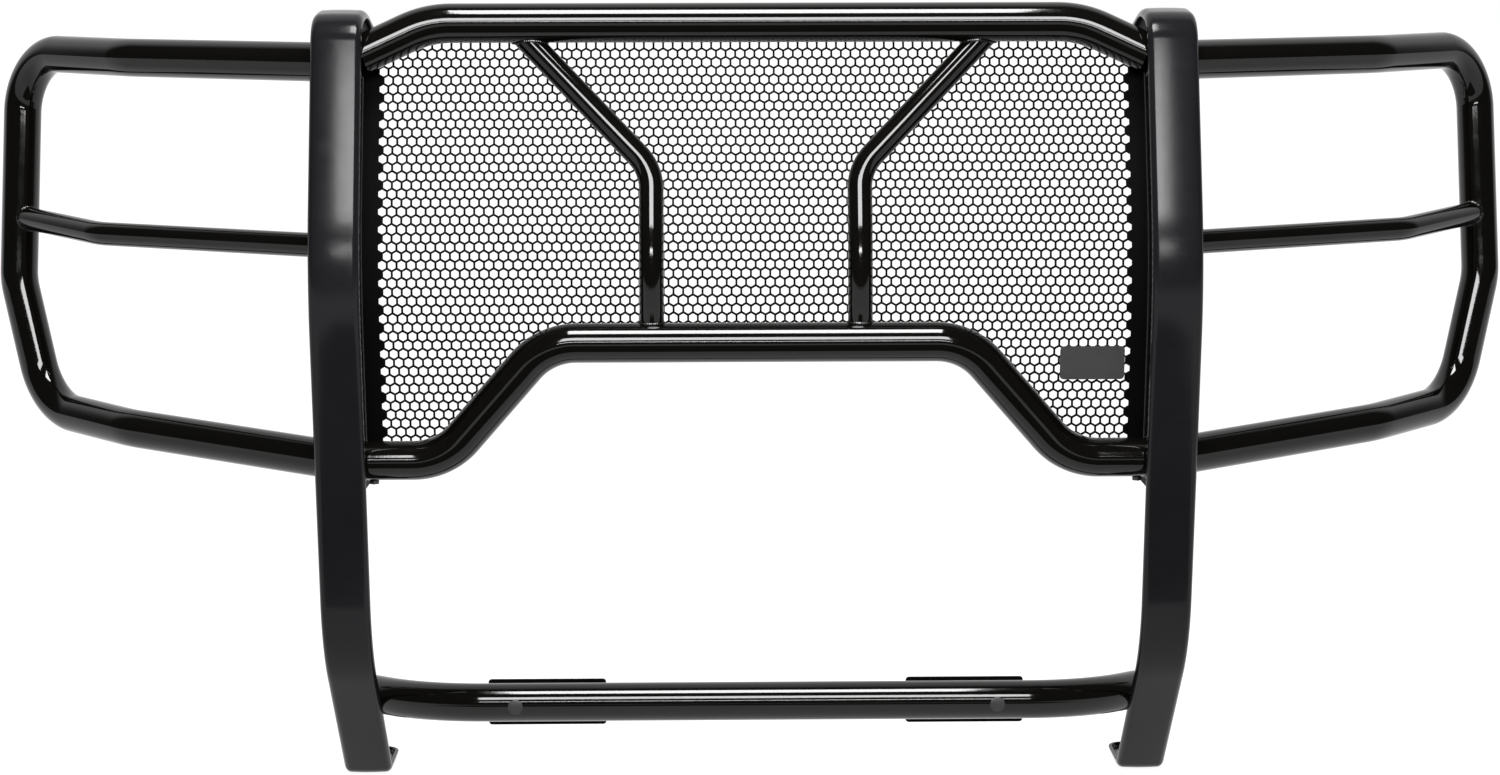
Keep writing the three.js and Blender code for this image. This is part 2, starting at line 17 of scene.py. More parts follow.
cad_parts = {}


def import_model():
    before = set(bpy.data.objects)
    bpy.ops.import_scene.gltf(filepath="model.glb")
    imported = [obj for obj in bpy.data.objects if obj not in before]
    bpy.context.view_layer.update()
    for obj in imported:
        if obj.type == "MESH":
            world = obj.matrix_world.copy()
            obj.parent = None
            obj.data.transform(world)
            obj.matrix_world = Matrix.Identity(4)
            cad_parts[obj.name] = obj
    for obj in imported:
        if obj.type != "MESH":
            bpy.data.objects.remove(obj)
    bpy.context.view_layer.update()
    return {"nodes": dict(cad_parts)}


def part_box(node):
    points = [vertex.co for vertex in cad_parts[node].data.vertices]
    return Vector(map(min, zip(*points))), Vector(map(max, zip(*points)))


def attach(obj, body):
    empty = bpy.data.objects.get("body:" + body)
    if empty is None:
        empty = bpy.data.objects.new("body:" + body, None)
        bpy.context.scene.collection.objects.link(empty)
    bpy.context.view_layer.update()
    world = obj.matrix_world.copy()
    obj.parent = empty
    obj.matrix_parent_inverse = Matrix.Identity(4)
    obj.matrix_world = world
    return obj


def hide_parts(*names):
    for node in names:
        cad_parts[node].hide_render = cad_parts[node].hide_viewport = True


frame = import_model()

# Stock
TUBE_R = 25.4
SLIM_R = 15.875
GAP = 0.4  # clearance between touching pieces in the part
MM = 0.001

# Uprights
UPRIGHT_X = 533.9
STRAP_WIDTH = 65
STRAP_THICKNESS = 5
STRAP_EDGE_R = 9  # the long edges are rolled back round this radius
STRAP_DEPTH = 10
STRAP_RIM_R = 0.9  # rounding of the rolled edges' rims
STRAP_CROWN = 1.2  # bulge of its face
LEAN_HEIGHT = 713.5
LEAN_SLOPE = 0.29
TILT_SLOPE = 0.081
SWEEP_HEIGHT = 214
SWEEP_SLOPE = 0.84
CAP_CORNERS = [(91, 1033, 48), (163, 1044, 110), (243, 1020, 0)]  # depth, height, bend
FOOT_LEVEL = -4
FOOT_END_DEPTH = 320
FOOT_BEND = 26
SWEEP_BEND = 210
LEAN_BEND = 500
FOOT_CORNER_R = 20
FOOT_SLOT = (6.5, 260, 292)  # half width, and the depths it runs between
SLOT_CUT = (-24, 20)  # heights between which the slot is cut

# Side plates
PLATE_X = (507.8, 512.8)  # its inner and outer face
PLATE_FRONT = 6.4  # how far its front and back edges lie behind the strap's face
PLATE_BACK = 126
PLATE_BOTTOM = 424
PLATE_CORNER_R = 28
PLATE_BEVEL = 0.6

# Centre section: corners are (x, height, bend)
TUBE_SETBACK = 46  # distances of middle lines, and of the screen's face, behind the straps' faces
BRACE_SETBACK = 57
SCREEN_SETBACK = 76
SCREEN_THICKNESS = 2
TOP_CORNERS = [(507.4, 984, 0), (421, 1024, 130)]
GRILLE_CORNERS = [(507.4, 464.5, 0), (404.5, 464.5, 86), (270.5, 618.5, 86)]
BRACE_X = 134
BRACE_CORNER = 838
BRACE_SLOPE = 1.027
BRACE_CORNER_BEND = 65
BRACE_LEAN_BEND = 440
TOP_HEIGHT = TOP_CORNERS[1][1]
GRILLE_LOW, GRILLE_HIGH = GRILLE_CORNERS[0][1], GRILLE_CORNERS[2][1]

# Lower cross tube and its mounting plates
CROSS_CORNERS = [(516, 175.3, 123.8, 0), (438, 101, 131.2, 196)]  # x, depth, height, bend
CROSS_DEPTH = 101
CROSS_HEIGHT = 131.2
MOUNT_PLATE = (200.5, 357.7, 93.2, 155.2)  # x range and height range
MOUNT_THICKNESS = 4
MOUNT_CORNER_R = 5
MOUNT_BEVEL = 0.5
PLUG_X = 318.4
PLUG_PROFILE = [  # radius, and how far it stands out from the tube's face
    (9.2, -3.0),
    (10, -2.6),
    (10, 0.3),
    (9.7, 0.75),
    (9.0, 0.95),
    (7.2, 1.0),
    (4.5, 1.02),
    (1.5, 1.05),
]

# Wings: corners are (x, depth, height, bend)
WING_HOOP = [
    (513.2, 124, 975, 0),
    (547, 124, 975, 60),
    (837, 269, 977.5, 130),
    (1018, 432, 980.5, 75),
    (1024, 375.5, 667, 120),
    (982, 341.5, 492, 90),
    (837, 211, 484, 130),
    (547, 66, 466, 60),
    (513.2, 66, 466, 0),
]
WING_MID = [(513.2, 85.5, 741.5, 0), (547, 85.5, 741.5, 60), (880, 252, 743, 100), (1022, 389.5, 754, 0)]

# Screen holes: pointed at the top and bottom
HOLE_PITCH = 12.5
ROW_PITCH = 11.55
HOLE_HALF_WIDTH = 4.95
HOLE_POINT = 6.0
HOLE_SHOULDER = 3.2
FIRST_ROW_HEIGHT = 994.5
ROWS_ABOVE = 2  # rows that may lie above the first
SCREEN_MARGIN = 9  # no hole's middle lies nearer to the sheet's edge
SCREEN_SIDE = 484  # no hole's middle lies further out

# Badge
BADGE_PLACE = (437, 586)  # x and height of its middle
BADGE_SIZE = (84, 44)
BADGE_CORNER_R = 6
BADGE_THICKNESS = 3
BADGE_BEVEL = 0.9

DEPTH_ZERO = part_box("right_mounting_plate")[0].y / MM - (CROSS_DEPTH + TUBE_R + GAP)
HEIGHT_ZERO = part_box("right_mounting_plate")[0].z / MM - MOUNT_PLATE[2]


def at(x, depth, height):
    """A place in the part's frame, in metres, from the millimetres of the tables above."""
    return Vector((x * MM, (depth + DEPTH_ZERO) * MM, (height + HEIGHT_ZERO) * MM))


# ---- materials ----


class Nodes:
    """A material's node tree, with short ways to add and link nodes."""

    def __init__(self, name):
        self.material = bpy.data.materials.new(name)
        self.material.use_nodes = True
        self.tree = self.material.node_tree
        self.shader = self.tree.nodes["Principled BSDF"]
        self.place = self.tree.nodes.new("ShaderNodeTexCoord").outputs["Object"]

    def link(self, source, target):
        self.tree.links.new(source, target)

    def noise(self, scale, detail, rough=0.5, stretch=None):
        node = self.tree.nodes.new("ShaderNodeTexNoise")
        node.inputs["Scale"].default_value = scale
        node.inputs["Detail"].default_value = detail
        node.inputs["Roughness"].default_value = rough
        place = self.place
        if stretch:
            mapping = self.tree.nodes.new("ShaderNodeMapping")
            mapping.inputs["Scale"].default_value = stretch
            self.link(self.place, mapping.inputs["Vector"])
            place = mapping.outputs["Vector"]
        self.link(place, node.inputs["Vector"])
        return node.outputs["Fac"]

    def spread(self, source, low, high, to_low, to_high):
        """Spreads the values between two limits over another range, and holds those outside at its ends."""
        node = self.tree.nodes.new("ShaderNodeMapRange")
        for name, value in (("From Min", low), ("From Max", high), ("To Min", to_low), ("To Max", to_high)):
            node.inputs[name].default_value = value
        self.link(source, node.inputs["Value"])
        return node.outputs["Result"]

    def mix(self, factor, a, b):
        """A blend of two colours, each a value or a socket. A mix node numbers its colours 6 and 7."""
        node = self.tree.nodes.new("ShaderNodeMix")
        node.data_type = "RGBA"
        self.link(factor, node.inputs[0])
        for socket, colour in ((node.inputs[6], a), (node.inputs[7], b)):
            if isinstance(colour, tuple):
                socket.default_value = (*colour, 1)
            else:
                self.link(colour, socket)
        return node.outputs[2]

    def multiply(self, a, b):
        node = self.tree.nodes.new("ShaderNodeMath")
        node.operation = "MULTIPLY"
        self.link(a, node.inputs[0])
        self.link(b, node.inputs[1])
        return node.outputs[0]

    def bump(self, height, strength, distance, below=None):
        node = self.tree.nodes.new("ShaderNodeBump")
        node.inputs["Strength"].default_value = strength
        node.inputs["Distance"].default_value = distance
        self.link(height, node.inputs["Height"])
        if below is not None:
            self.link(below, node.inputs["Normal"])
        return node.outputs["Normal"]

    def finish(self, **inputs):
        """Sets or links the shader's inputs and gives the material."""
        for name, value in inputs.items():
            socket = self.shader.inputs[name.replace("_", " ")]
            if isinstance(value, bpy.types.NodeSocket):
                self.link(value, socket)
            else:
                socket.default_value = value
        return self.material


# Noise scales, per metre, and bump heights, in metres
PATCH_SCALE = 9
DUST_SCALE = 620
SMEAR_SCALE = 30
PEEL_SCALE = 380
GRAIN_SCALE = 2400
PEEL_HEIGHT = 0.0004
GRAIN_HEIGHT = 0.0001
ZINC_PATCH_SCALE = 160
LATHE_SCALE = 1500
PLASTIC_PATCH_SCALE = 60
PLASTIC_GLOSS_SCALE = 220
PLASTIC_GRAIN_SCALE = 1700
PLASTIC_GRAIN_HEIGHT = 0.00012

# How much lighter the lightest patches are
COAT_LIFT = 1.25
PLASTIC_LIFT = 1.5


def coat(name, base, dusty, roughness, peel, grain, specular):
    """Powder coat: orange peel, patches of slightly different gloss, a little dust."""
    n = Nodes(name)
    patches = n.noise(PATCH_SCALE, 4, 0.6)
    specks = n.spread(n.noise(DUST_SCALE, 2, 0.6), 0.66, 0.78, 0.0, 1.0)
    dust = n.multiply(specks, n.spread(patches, 0.45, 0.7, 0.1, 1.0))
    lighter = tuple(COAT_LIFT * c for c in base)
    colour = n.mix(dust, n.mix(n.spread(patches, 0.3, 0.7, 0.0, 1.0), base, lighter), dusty)
    smear = n.noise(SMEAR_SCALE, 5, 0.65, (1, 1, 2.6))
    bumps = n.bump(n.noise(PEEL_SCALE, 2, 0.45), peel, PEEL_HEIGHT)
    bumps = n.bump(n.noise(GRAIN_SCALE, 2, 0.5), grain, GRAIN_HEIGHT, bumps)
    return n.finish(
        Base_Color=colour,
        Roughness=n.spread(smear, 0.3, 0.75, *roughness),
        Specular_IOR_Level=specular,
        Normal=bumps,
    )


def zinc_material():
    """Black zinc plating on turned hardware."""
    n = Nodes("black_zinc")
    patches = n.noise(ZINC_PATCH_SCALE, 4, 0.6)
    colour = n.mix(patches, (0.035, 0.035, 0.04), (0.09, 0.09, 0.1))
    turned = n.noise(LATHE_SCALE, 2, 0.5, (1, 1, 6))
    return n.finish(
        Base_Color=colour,
        Metallic=0.85,
        Roughness=n.spread(patches, 0.3, 0.7, 0.3, 0.5),
        Normal=n.bump(turned, 0.15, GRAIN_HEIGHT),
    )


def plastic_material(name, base):
    """Moulded plastic with a fine grain."""
    n = Nodes(name)
    colour = n.mix(n.noise(PLASTIC_PATCH_SCALE, 4, 0.6), base, tuple(PLASTIC_LIFT * c for c in base))
    return n.finish(
        Base_Color=colour,
        Specular_IOR_Level=0.4,
        Roughness=n.spread(n.noise(PLASTIC_GLOSS_SCALE, 3, 0.6), 0.3, 0.7, 0.42, 0.6),
        Normal=n.bump(n.noise(PLASTIC_GRAIN_SCALE, 3, 0.6), 0.3, PLASTIC_GRAIN_HEIGHT),
    )


def grey(value):
    return (value, value, value)


GLOSS = coat(
    "gloss_black_coat",
    base=(0.0013, 0.0012, 0.0010),
    dusty=grey(0.012),
    roughness=(0.04, 0.09),
    peel=0.04,
    grain=0.02,
    specular=0.34,
)
SATIN = coat(
    "satin_black_coat",
    base=(0.0048, 0.0048, 0.0055),
    dusty=grey(0.022),
    roughness=(0.13, 0.18),
    peel=0.05,
    grain=0.1,
    specular=0.17,
)
# Painted shade: a copy of the black coat whose base colour is darker than the real powder coat, standing in
# for the shade the side plates and mounting plates lie in. Its rough, low-gloss finish is real.
MATTE_PAINTED_SHADE = coat(
    "matte_black_coat_painted_shade",
    base=grey(0.0016),
    dusty=grey(0.006),
    roughness=(0.5, 0.6),
    peel=0.08,
    grain=0.15,
    specular=0.02,
)
SHEET = coat(
    "screen_black_coat",
    base=grey(0.0016),
    dusty=grey(0.006),
    roughness=(0.4, 0.5),
    peel=0.08,
    grain=0.15,
    specular=0.008,
)
ZINC = zinc_material()
PLUG_PLASTIC = plastic_material("plug_plastic", grey(0.011))
BADGE_PLASTIC = plastic_material("badge_plastic", (0.016, 0.016, 0.017))


# ---- meshes ----

SHARP_ANGLE = math.radians(32)


def piece(name, bm, material, slot, *nodes):
    """Makes a mesh into a piece of the guard that stands for some CAD nodes."""
    bmesh.ops.recalc_face_normals(bm, faces=bm.faces)
    mesh = bpy.data.meshes.new(name)
    bm.to_mesh(mesh)
    bm.free()
    mesh.shade_smooth()
    mesh.set_sharp_from_angle(angle=SHARP_ANGLE)
    mesh.materials.append(material)
    obj = bpy.data.objects.new(name, mesh)
    bpy.context.scene.collection.objects.link(obj)
    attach(obj, "root")
    if nodes:
        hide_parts(*nodes)
    return obj


def loft(rings, closed=False):
    """A closed skin over rings of points, with flat ends unless it closes on itself."""
    bm = bmesh.new()
    rows = [[bm.verts.new(p) for p in ring] for ring in rings]
    pairs = list(zip(rows, rows[1:])) + ([(rows[-1], rows[0])] if closed else [])
    for a, b in pairs:
        for i in range(len(a)):
            j = (i + 1) % len(a)
            bm.faces.new((a[i], a[j], b[j], b[i]))
    if not closed:
        bm.faces.new(reversed(rows[0]))
        bm.faces.new(rows[-1])
    return bm


def bent_path(corners, step=3.0):
    """Stations (point, direction) along straight runs joined by circular bends.

    Corners are (point, bend), and a bend has a station at every step of so many degrees.
    """
    stations = []
    for i, (here, bend) in enumerate(corners):
        if i == 0:
            stations.append((here, (corners[1][0] - here).normalized()))
        elif i == len(corners) - 1:
            stations.append((here, (here - corners[i - 1][0]).normalized()))
        else:
            into = (here - corners[i - 1][0]).normalized()
            out = (corners[i + 1][0] - here).normalized()
            turn = into.angle(out)
            radius = bend * MM
            start = here - into * (radius * math.tan(turn / 2))
            inward = (out - into * math.cos(turn)).normalized()
            parts = max(2, math.ceil(math.degrees(turn) / step))
            for k in range(parts + 1):
                a = turn * k / parts
                point = start + into * (radius * math.sin(a)) + inward * (radius * (1 - math.cos(a)))
                stations.append((point, into * math.cos(a) + inward * math.sin(a)))
    return stations


def turning_frames(stations):
    """Two directions square to the path at each station, with no twist between them."""
    direction = stations[0][1]
    normal = direction.orthogonal().normalized()
    frames = []
    for _, along in stations:
        normal = direction.rotation_difference(along) @ normal
        normal = (normal - along * normal.dot(along)).normalized()
        direction = along
        frames.append((normal, along.cross(normal)))
    return frames


def tube_mesh(stations, radius, sides):
    rings = []
    for (point, _), (u, v) in zip(stations, turning_frames(stations)):
        angles = [2 * math.pi * k / sides for k in range(sides)]
        rings.append([point + (u * math.cos(a) + v * math.sin(a)) * (radius * MM) for a in angles])
    return loft(rings)


def front_depth(height):
    """Depth of the uprights' front line at a height: leaning back above, tilted and swept back below."""
    if height > LEAN_HEIGHT:
        return (height - LEAN_HEIGHT) * LEAN_SLOPE
    tilt = (LEAN_HEIGHT - max(height, SWEEP_HEIGHT)) * TILT_SLOPE
    return tilt + max(0, SWEEP_HEIGHT - height) * SWEEP_SLOPE


def depth_behind(height, setback):
    """Depth of a line that runs alongside the uprights' front line, at a distance behind it."""
    slope = LEAN_SLOPE if height > LEAN_HEIGHT else TILT_SLOPE
    return front_depth(height) + setback * math.hypot(1, slope)


def both_sides(half):
    """Corners of a whole tube from those of its right half, the end first."""
    left = [(Vector((-p.x, p.y, p.z)), bend) for p, bend in half]
    return left + half[::-1]


def on_tube_plane(corners, setback=TUBE_SETBACK):
    """Corners of a tube that lies in the guard's front, from their x and height."""
    return [(at(x, depth_behind(height, setback), height), bend) for x, height, bend in corners]


def mirrored(side, corners):
    """Corners of a tube on the left (side -1) or the right (1)."""
    return [(at(side * x, depth, height), bend) for x, depth, height, bend in corners]


# ---- weld beads ----

BEAD_SIDES = 10
BEAD_STEP = 0.75
BEAD_VALLEY = 0.86  # radius between ripples, as a share of the bead's own
RIPPLE = 2.7  # length of one ripple
RIPPLE_RISE = 0.2
WANDER = ((0.08, 9), (0.05, 4.1))  # slow swings of the radius: share, and length over which it turns a radian


def resampled(points):
    """Points spaced evenly along a closed line, and their places along it."""
    pts = [np.array(p) / MM for p in points]
    pts = np.array(pts + pts[:1])
    lengths = np.concatenate([[0], np.cumsum(np.linalg.norm(np.diff(pts, axis=0), axis=1))])
    places = np.linspace(0, lengths[-1], int(lengths[-1] / BEAD_STEP), endpoint=False)
    return np.stack([np.interp(places, lengths, pts[:, k]) for k in range(3)], axis=1), places


def bead(name, points, radius, seed):
    """A rippled weld bead along a closed line of points."""
    line, places = resampled(points)
    rng = random.Random(seed)
    phase = [rng.uniform(0, 2 * math.pi) for _ in WANDER]
    centre = line.mean(axis=0)
    rings = []
    for i, (p, s) in enumerate(zip(line, places)):
        along = Vector(line[(i + 1) % len(line)] - line[i - 1]).normalized()
        out = Vector(p - centre)
        out = (out - along * out.dot(along)).normalized()
        side = along.cross(out)
        wave = BEAD_VALLEY + RIPPLE_RISE * abs(math.sin(math.pi * s / RIPPLE))
        wave *= 1 + sum(share * math.sin(s / length + start) for (share, length), start in zip(WANDER, phase))
        ring = []
        for k in range(BEAD_SIDES):
            a = 2 * math.pi * k / BEAD_SIDES
            ring.append((Vector(p) + (out * math.cos(a) + side * math.sin(a)) * (radius * wave)) * MM)
        rings.append(ring)
    piece(name, loft(rings, closed=True), GLOSS, "gloss_black_tube")


def distance_to_path(points, stations):
    """Distance of each point from the nearest place on a path."""
    a = np.array([tuple(s[0]) for s in stations[:-1]])
    b = np.array([tuple(s[0]) for s in stations[1:]])
    ab = b - a
    ap = points[:, None, :] - a[None]
    t = np.clip((ap * ab).sum(-1) / (ab * ab).sum(-1), 0, 1)
    return np.linalg.norm(ap - t[..., None] * ab, axis=-1).min(axis=1)


COPE_REACH = 60.0  # how far before and past a tube's end its meeting line may lie
COPE_PAST = 30.0
COPE_STEPS = 46
COPE_HALVINGS = 12
COPE_LINES = 120


def cope_loop(end, along, radius, inside):
    """Where a straight round tube, running along a direction to its end, first enters something.

    Lines along the tube that pass beside it take their place from the lines on either side.
    """
    u = along.orthogonal().normalized()
    v = along.cross(u)
    angles = np.linspace(0, 2 * np.pi, COPE_LINES, endpoint=False)
    ring = np.array([tuple(end + (u * math.cos(a) + v * math.sin(a)) * (radius * MM)) for a in angles])
    step = np.array(along) * MM
    reaches, gap = np.linspace(-COPE_REACH, COPE_PAST, COPE_STEPS, retstep=True)
    hits = np.array([inside(ring + step * s) for s in reaches])
    met = hits.any(axis=0)
    high = reaches[hits.argmax(axis=0)]
    low = high - gap
    for _ in range(COPE_HALVINGS):
        mid = (low + high) / 2
        hit = inside(ring + step * mid[:, None])
        high = np.where(hit, mid, high)
        low = np.where(hit, low, mid)
    high = np.interp(angles, angles[met], high[met], period=2 * np.pi)
    return [Vector(p) for p in ring + step * high[:, None]]


def beyond_x(x):
    return lambda points: np.abs(points[:, 0]) > x * MM


def short_of_x(x):
    return lambda points: np.abs(points[:, 0]) < x * MM


def in_tube(stations):
    return lambda points: distance_to_path(points, stations) < TUBE_R * MM


# ---- tubes ----

MAIN_SIDES = 64
SLIM_SIDES = 48
BEAD_R = 2.6
SLIM_BEAD_R = 2.3
SIDES = (("left", -1), ("right", 1))


def make_tube(name, stations, radius, sides):
    piece(name, tube_mesh(stations, radius, sides), GLOSS, "gloss_black_tube", name)


top_path = bent_path(both_sides(on_tube_plane(TOP_CORNERS)))
grille_path = bent_path(both_sides(on_tube_plane(GRILLE_CORNERS)))
cross_path = bent_path(both_sides([(at(x, d, h), bend) for x, d, h, bend in CROSS_CORNERS]))


def centre_tubes():
    make_tube("top_tube", top_path, TUBE_R, MAIN_SIDES)
    make_tube("lower_grille_tube", grille_path, TUBE_R, MAIN_SIDES)
    make_tube("lower_cross_tube", cross_path, TUBE_R, MAIN_SIDES)


def centre_beads():
    """Beads where the two large centre tubes meet the side plates."""
    for name, path in (("top_tube", top_path), ("lower_grille_tube", grille_path)):
        for side, point, heading in (("left", path[0][0], -path[0][1]), ("right", *path[-1])):
            loop = cope_loop(point, heading, TUBE_R, beyond_x(PLATE_X[0]))
            bead(f"weld_{name}_{side}", loop, BEAD_R, seed=len(name) + ord(side[0]))


def brace(name, side):
    """A slim tube that rises from the lower grille tube and slants outward to the top tube."""
    top_x = BRACE_X + (TOP_HEIGHT - BRACE_CORNER) / BRACE_SLOPE
    corners = [
        (side * BRACE_X, GRILLE_HIGH, 0),
        (side * BRACE_X, LEAN_HEIGHT, BRACE_LEAN_BEND),
        (side * BRACE_X, BRACE_CORNER, BRACE_CORNER_BEND),
        (side * top_x, TOP_HEIGHT, 0),
    ]
    path = bent_path(on_tube_plane(corners, BRACE_SETBACK))
    make_tube(f"{name}_brace_tube", path, SLIM_R, SLIM_SIDES)
    low = cope_loop(path[0][0], -path[0][1], SLIM_R, in_tube(grille_path))
    high = cope_loop(path[-1][0], path[-1][1], SLIM_R, in_tube(top_path))
    bead(f"weld_{name}_brace_low", low, SLIM_BEAD_R, seed=3 + side)
    bead(f"weld_{name}_brace_high", high, SLIM_BEAD_R, seed=7 + side)


def wing(name, side):
    """A hoop and its mid tube, with beads at the side plate and where the mid tube meets the hoop."""
    hoop = bent_path(mirrored(side, WING_HOOP))
    mid = bent_path(mirrored(side, WING_MID))
    make_tube(f"{name}_wing_hoop", hoop, TUBE_R, MAIN_SIDES)
    make_tube(f"{name}_wing_mid_tube", mid, SLIM_R, SLIM_SIDES)
    outer = cope_loop(mid[-1][0], mid[-1][1], SLIM_R, in_tube(hoop))
    bead(f"weld_{name}_wing_mid_outer", outer, SLIM_BEAD_R, seed=11 + side)
    for label, point, heading, radius, bead_radius in (
        ("top", hoop[0][0], -hoop[0][1], TUBE_R, BEAD_R),
        ("low", *hoop[-1], TUBE_R, BEAD_R),
        ("mid_inner", mid[0][0], -mid[0][1], SLIM_R, SLIM_BEAD_R),
    ):
        loop = cope_loop(point, heading, radius, short_of_x(PLATE_X[1]))
        bead(f"weld_{name}_wing_{label}", loop, bead_radius, seed=20 + side)


# ---- uprights and side plates ----

SMOOTH_STEP = 2.0  # degrees between stations along the straps' bends
FOOT_CORNER_PARTS = 10
SLOT_END_PARTS = 12
FACE_PARTS = 4
CORNER_PARTS = 6


def strap_profile():
    """Side profile of an upright's front face, from the end of its foot to the end of its cap."""
    corners = [
        (at(0, FOOT_END_DEPTH, FOOT_LEVEL), 0),
        (at(0, front_depth(FOOT_LEVEL), FOOT_LEVEL), FOOT_BEND),
        (at(0, front_depth(SWEEP_HEIGHT), SWEEP_HEIGHT), SWEEP_BEND),
        (at(0, 0, LEAN_HEIGHT), LEAN_BEND),
    ]
    corners += [(at(0, depth, height), bend) for depth, height, bend in CAP_CORNERS]
    path = bent_path(corners, SMOOTH_STEP)
    foot, along = path[0]
    turns = [math.pi / 2 * k / FOOT_CORNER_PARTS for k in range(1, FOOT_CORNER_PARTS + 1)]
    rounding = [(foot + along * (FOOT_CORNER_R * (1 - math.cos(a)) * MM), along) for a in turns]
    return [path[0]] + rounding + path[1:]


def strap_section(half_width):
    """Shallow channel with a crowned face, rolled edges and rounded rims, as (forward, across)."""
    r, t, rim = STRAP_EDGE_R, STRAP_THICKNESS, STRAP_RIM_R
    turns = [  # forward, across, radius, first and last angle
        (-r, half_width - r, r, 0, 90),
        (rim - STRAP_DEPTH, half_width - rim, rim, 90, 180),
        (rim - STRAP_DEPTH, half_width - t + rim, rim, 180, 270),
        (-r, half_width - r, r - t, 90, 0),
    ]
    side = []
    for cx, cy, radius, first, last in turns:
        steps = max(4, round(radius))
        for k in range(steps + 1):
            a = math.radians(first + (last - first) * k / steps)
            side.append((cx + radius * math.cos(a), cy + radius * math.sin(a)))
    flat = [(half_width - r) * k / FACE_PARTS for k in range(FACE_PARTS)]
    face = [(0, a) for a in flat]
    back = [(-t, a) for a in reversed(flat)]
    side = [(f - STRAP_CROWN * (a / half_width) ** 2, a) for f, a in face + side + back]
    return side + [(f, -a) for f, a in reversed(side) if a > 0]


def slot_cutter(x):
    """A block as wide as the bolt slot, with round ends, that passes through the foot."""
    half, start, end = FOOT_SLOT
    outline = []
    for centre, first in ((end - half, 0), (start + half, 180)):
        for k in range(SLOT_END_PARTS + 1):
            a = math.radians(first + 180 * k / SLOT_END_PARTS)
            outline.append((x + half * math.cos(a), centre + half * math.sin(a)))
    rings = [[at(px, depth, height) for px, depth in outline] for height in SLOT_CUT]
    mesh = bpy.data.meshes.new("cutter")
    bm = loft(rings)
    bmesh.ops.recalc_face_normals(bm, faces=bm.faces)
    bm.to_mesh(mesh)
    bm.free()
    return bpy.data.objects.new("cutter", mesh)


def cut_out(obj, cutter):
    """Cuts one mesh out of another and keeps the result as plain mesh."""
    bpy.context.scene.collection.objects.link(cutter)
    modifier = obj.modifiers.new("cut", "BOOLEAN")
    modifier.operation = "DIFFERENCE"
    modifier.solver = "EXACT"
    modifier.object = cutter
    dg = bpy.context.evaluated_depsgraph_get()
    mesh = bpy.data.meshes.new_from_object(obj.evaluated_get(dg))
    obj.modifiers.remove(modifier)
    obj.data = mesh
    mesh.shade_smooth()
    mesh.set_sharp_from_angle(angle=SHARP_ANGLE)
    bpy.data.objects.remove(cutter)


def upright(name, side):
    """A strap bent from foot to cap in one piece, with a bolt slot in its foot."""
    path = strap_profile()
    foot = path[0][0]
    rings = []
    for point, along in path:
        forward = Vector((0, -along.z, along.y))
        half = STRAP_WIDTH / 2
        from_end = (foot - point).length / MM
        if from_end < FOOT_CORNER_R:
            half -= FOOT_CORNER_R - math.sqrt(FOOT_CORNER_R**2 - (FOOT_CORNER_R - from_end) ** 2)
        middle = point + Vector((side * UPRIGHT_X * MM, 0, 0))
        rings.append([middle + forward * (f * MM) + Vector((a * MM, 0, 0)) for f, a in strap_section(half)])
    obj = piece(f"{name}_upright", loft(rings), SATIN, "satin_black_plate", f"{name}_upright")
    cut_out(obj, slot_cutter(side * UPRIGHT_X))


def bevelled_slab(outline, through, bevel, segments=3):
    """A plate from an outline of points and a vector through its thickness, with its edges bevelled."""
    bm = loft([outline, [p + through for p in outline]])
    bmesh.ops.recalc_face_normals(bm, faces=bm.faces)
    rim = [e for e in bm.edges if any(len(f.verts) > 4 for f in e.link_faces)]
    bmesh.ops.bevel(bm, geom=rim, offset=bevel * MM, segments=segments, affect="EDGES", clamp_overlap=True)
    return bm


def rounded_corner(corner, before, after, radius):
    """Points of a smooth curve in place of a corner, in any two coordinates."""
    corner, before, after = Vector(corner), Vector(before), Vector(after)
    into, out = (corner - before).normalized(), (after - corner).normalized()
    a, b = corner - into * radius, corner + out * radius
    points = []
    for k in range(CORNER_PARTS + 1):
        t = k / CORNER_PARTS
        points.append(tuple(a * (1 - t) ** 2 + corner * (2 * t * (1 - t)) + b * t**2))
    return points


def side_plate(name, side):
    """A flat plate whose front edge follows the strap from the lower grille tube up to the cap's end."""
    front = [p + Vector((0, d.z, -d.y)) * (PLATE_FRONT * MM) for p, d in strap_profile()]
    line = [(p.y / MM - DEPTH_ZERO, p.z / MM - HEIGHT_ZERO) for p in front]
    line = [(depth, height) for depth, height in line if height > PLATE_BOTTOM + PLATE_CORNER_R]
    low_front = (depth_behind(PLATE_BOTTOM, PLATE_FRONT), PLATE_BOTTOM)
    low_back = (depth_behind(PLATE_BOTTOM, PLATE_BACK), PLATE_BOTTOM)
    high_back = (depth_behind(LEAN_HEIGHT, PLATE_BACK), LEAN_HEIGHT)
    outline = rounded_corner(low_back, high_back, low_front, PLATE_CORNER_R)
    outline += rounded_corner(low_front, low_back, line[0], PLATE_CORNER_R)
    outline += line + [high_back]
    x = side * PLATE_X[0]
    points = [at(x, depth, height) for depth, height in outline]
    slab = bevelled_slab(points, Vector((side * (PLATE_X[1] - PLATE_X[0]) * MM, 0, 0)), PLATE_BEVEL)
    # The plate's near-black colour is painted shade.
    piece(f"{name}_side_plate", slab, MATTE_PAINTED_SHADE, "satin_black_plate", f"{name}_side_plate")


# ---- screen ----

LINE_STEP = 1.0  # degrees between stations along the sheet's bend
MERGE_DISTANCE = 1e-5  # millimetres below which two points of the flat sheet are one


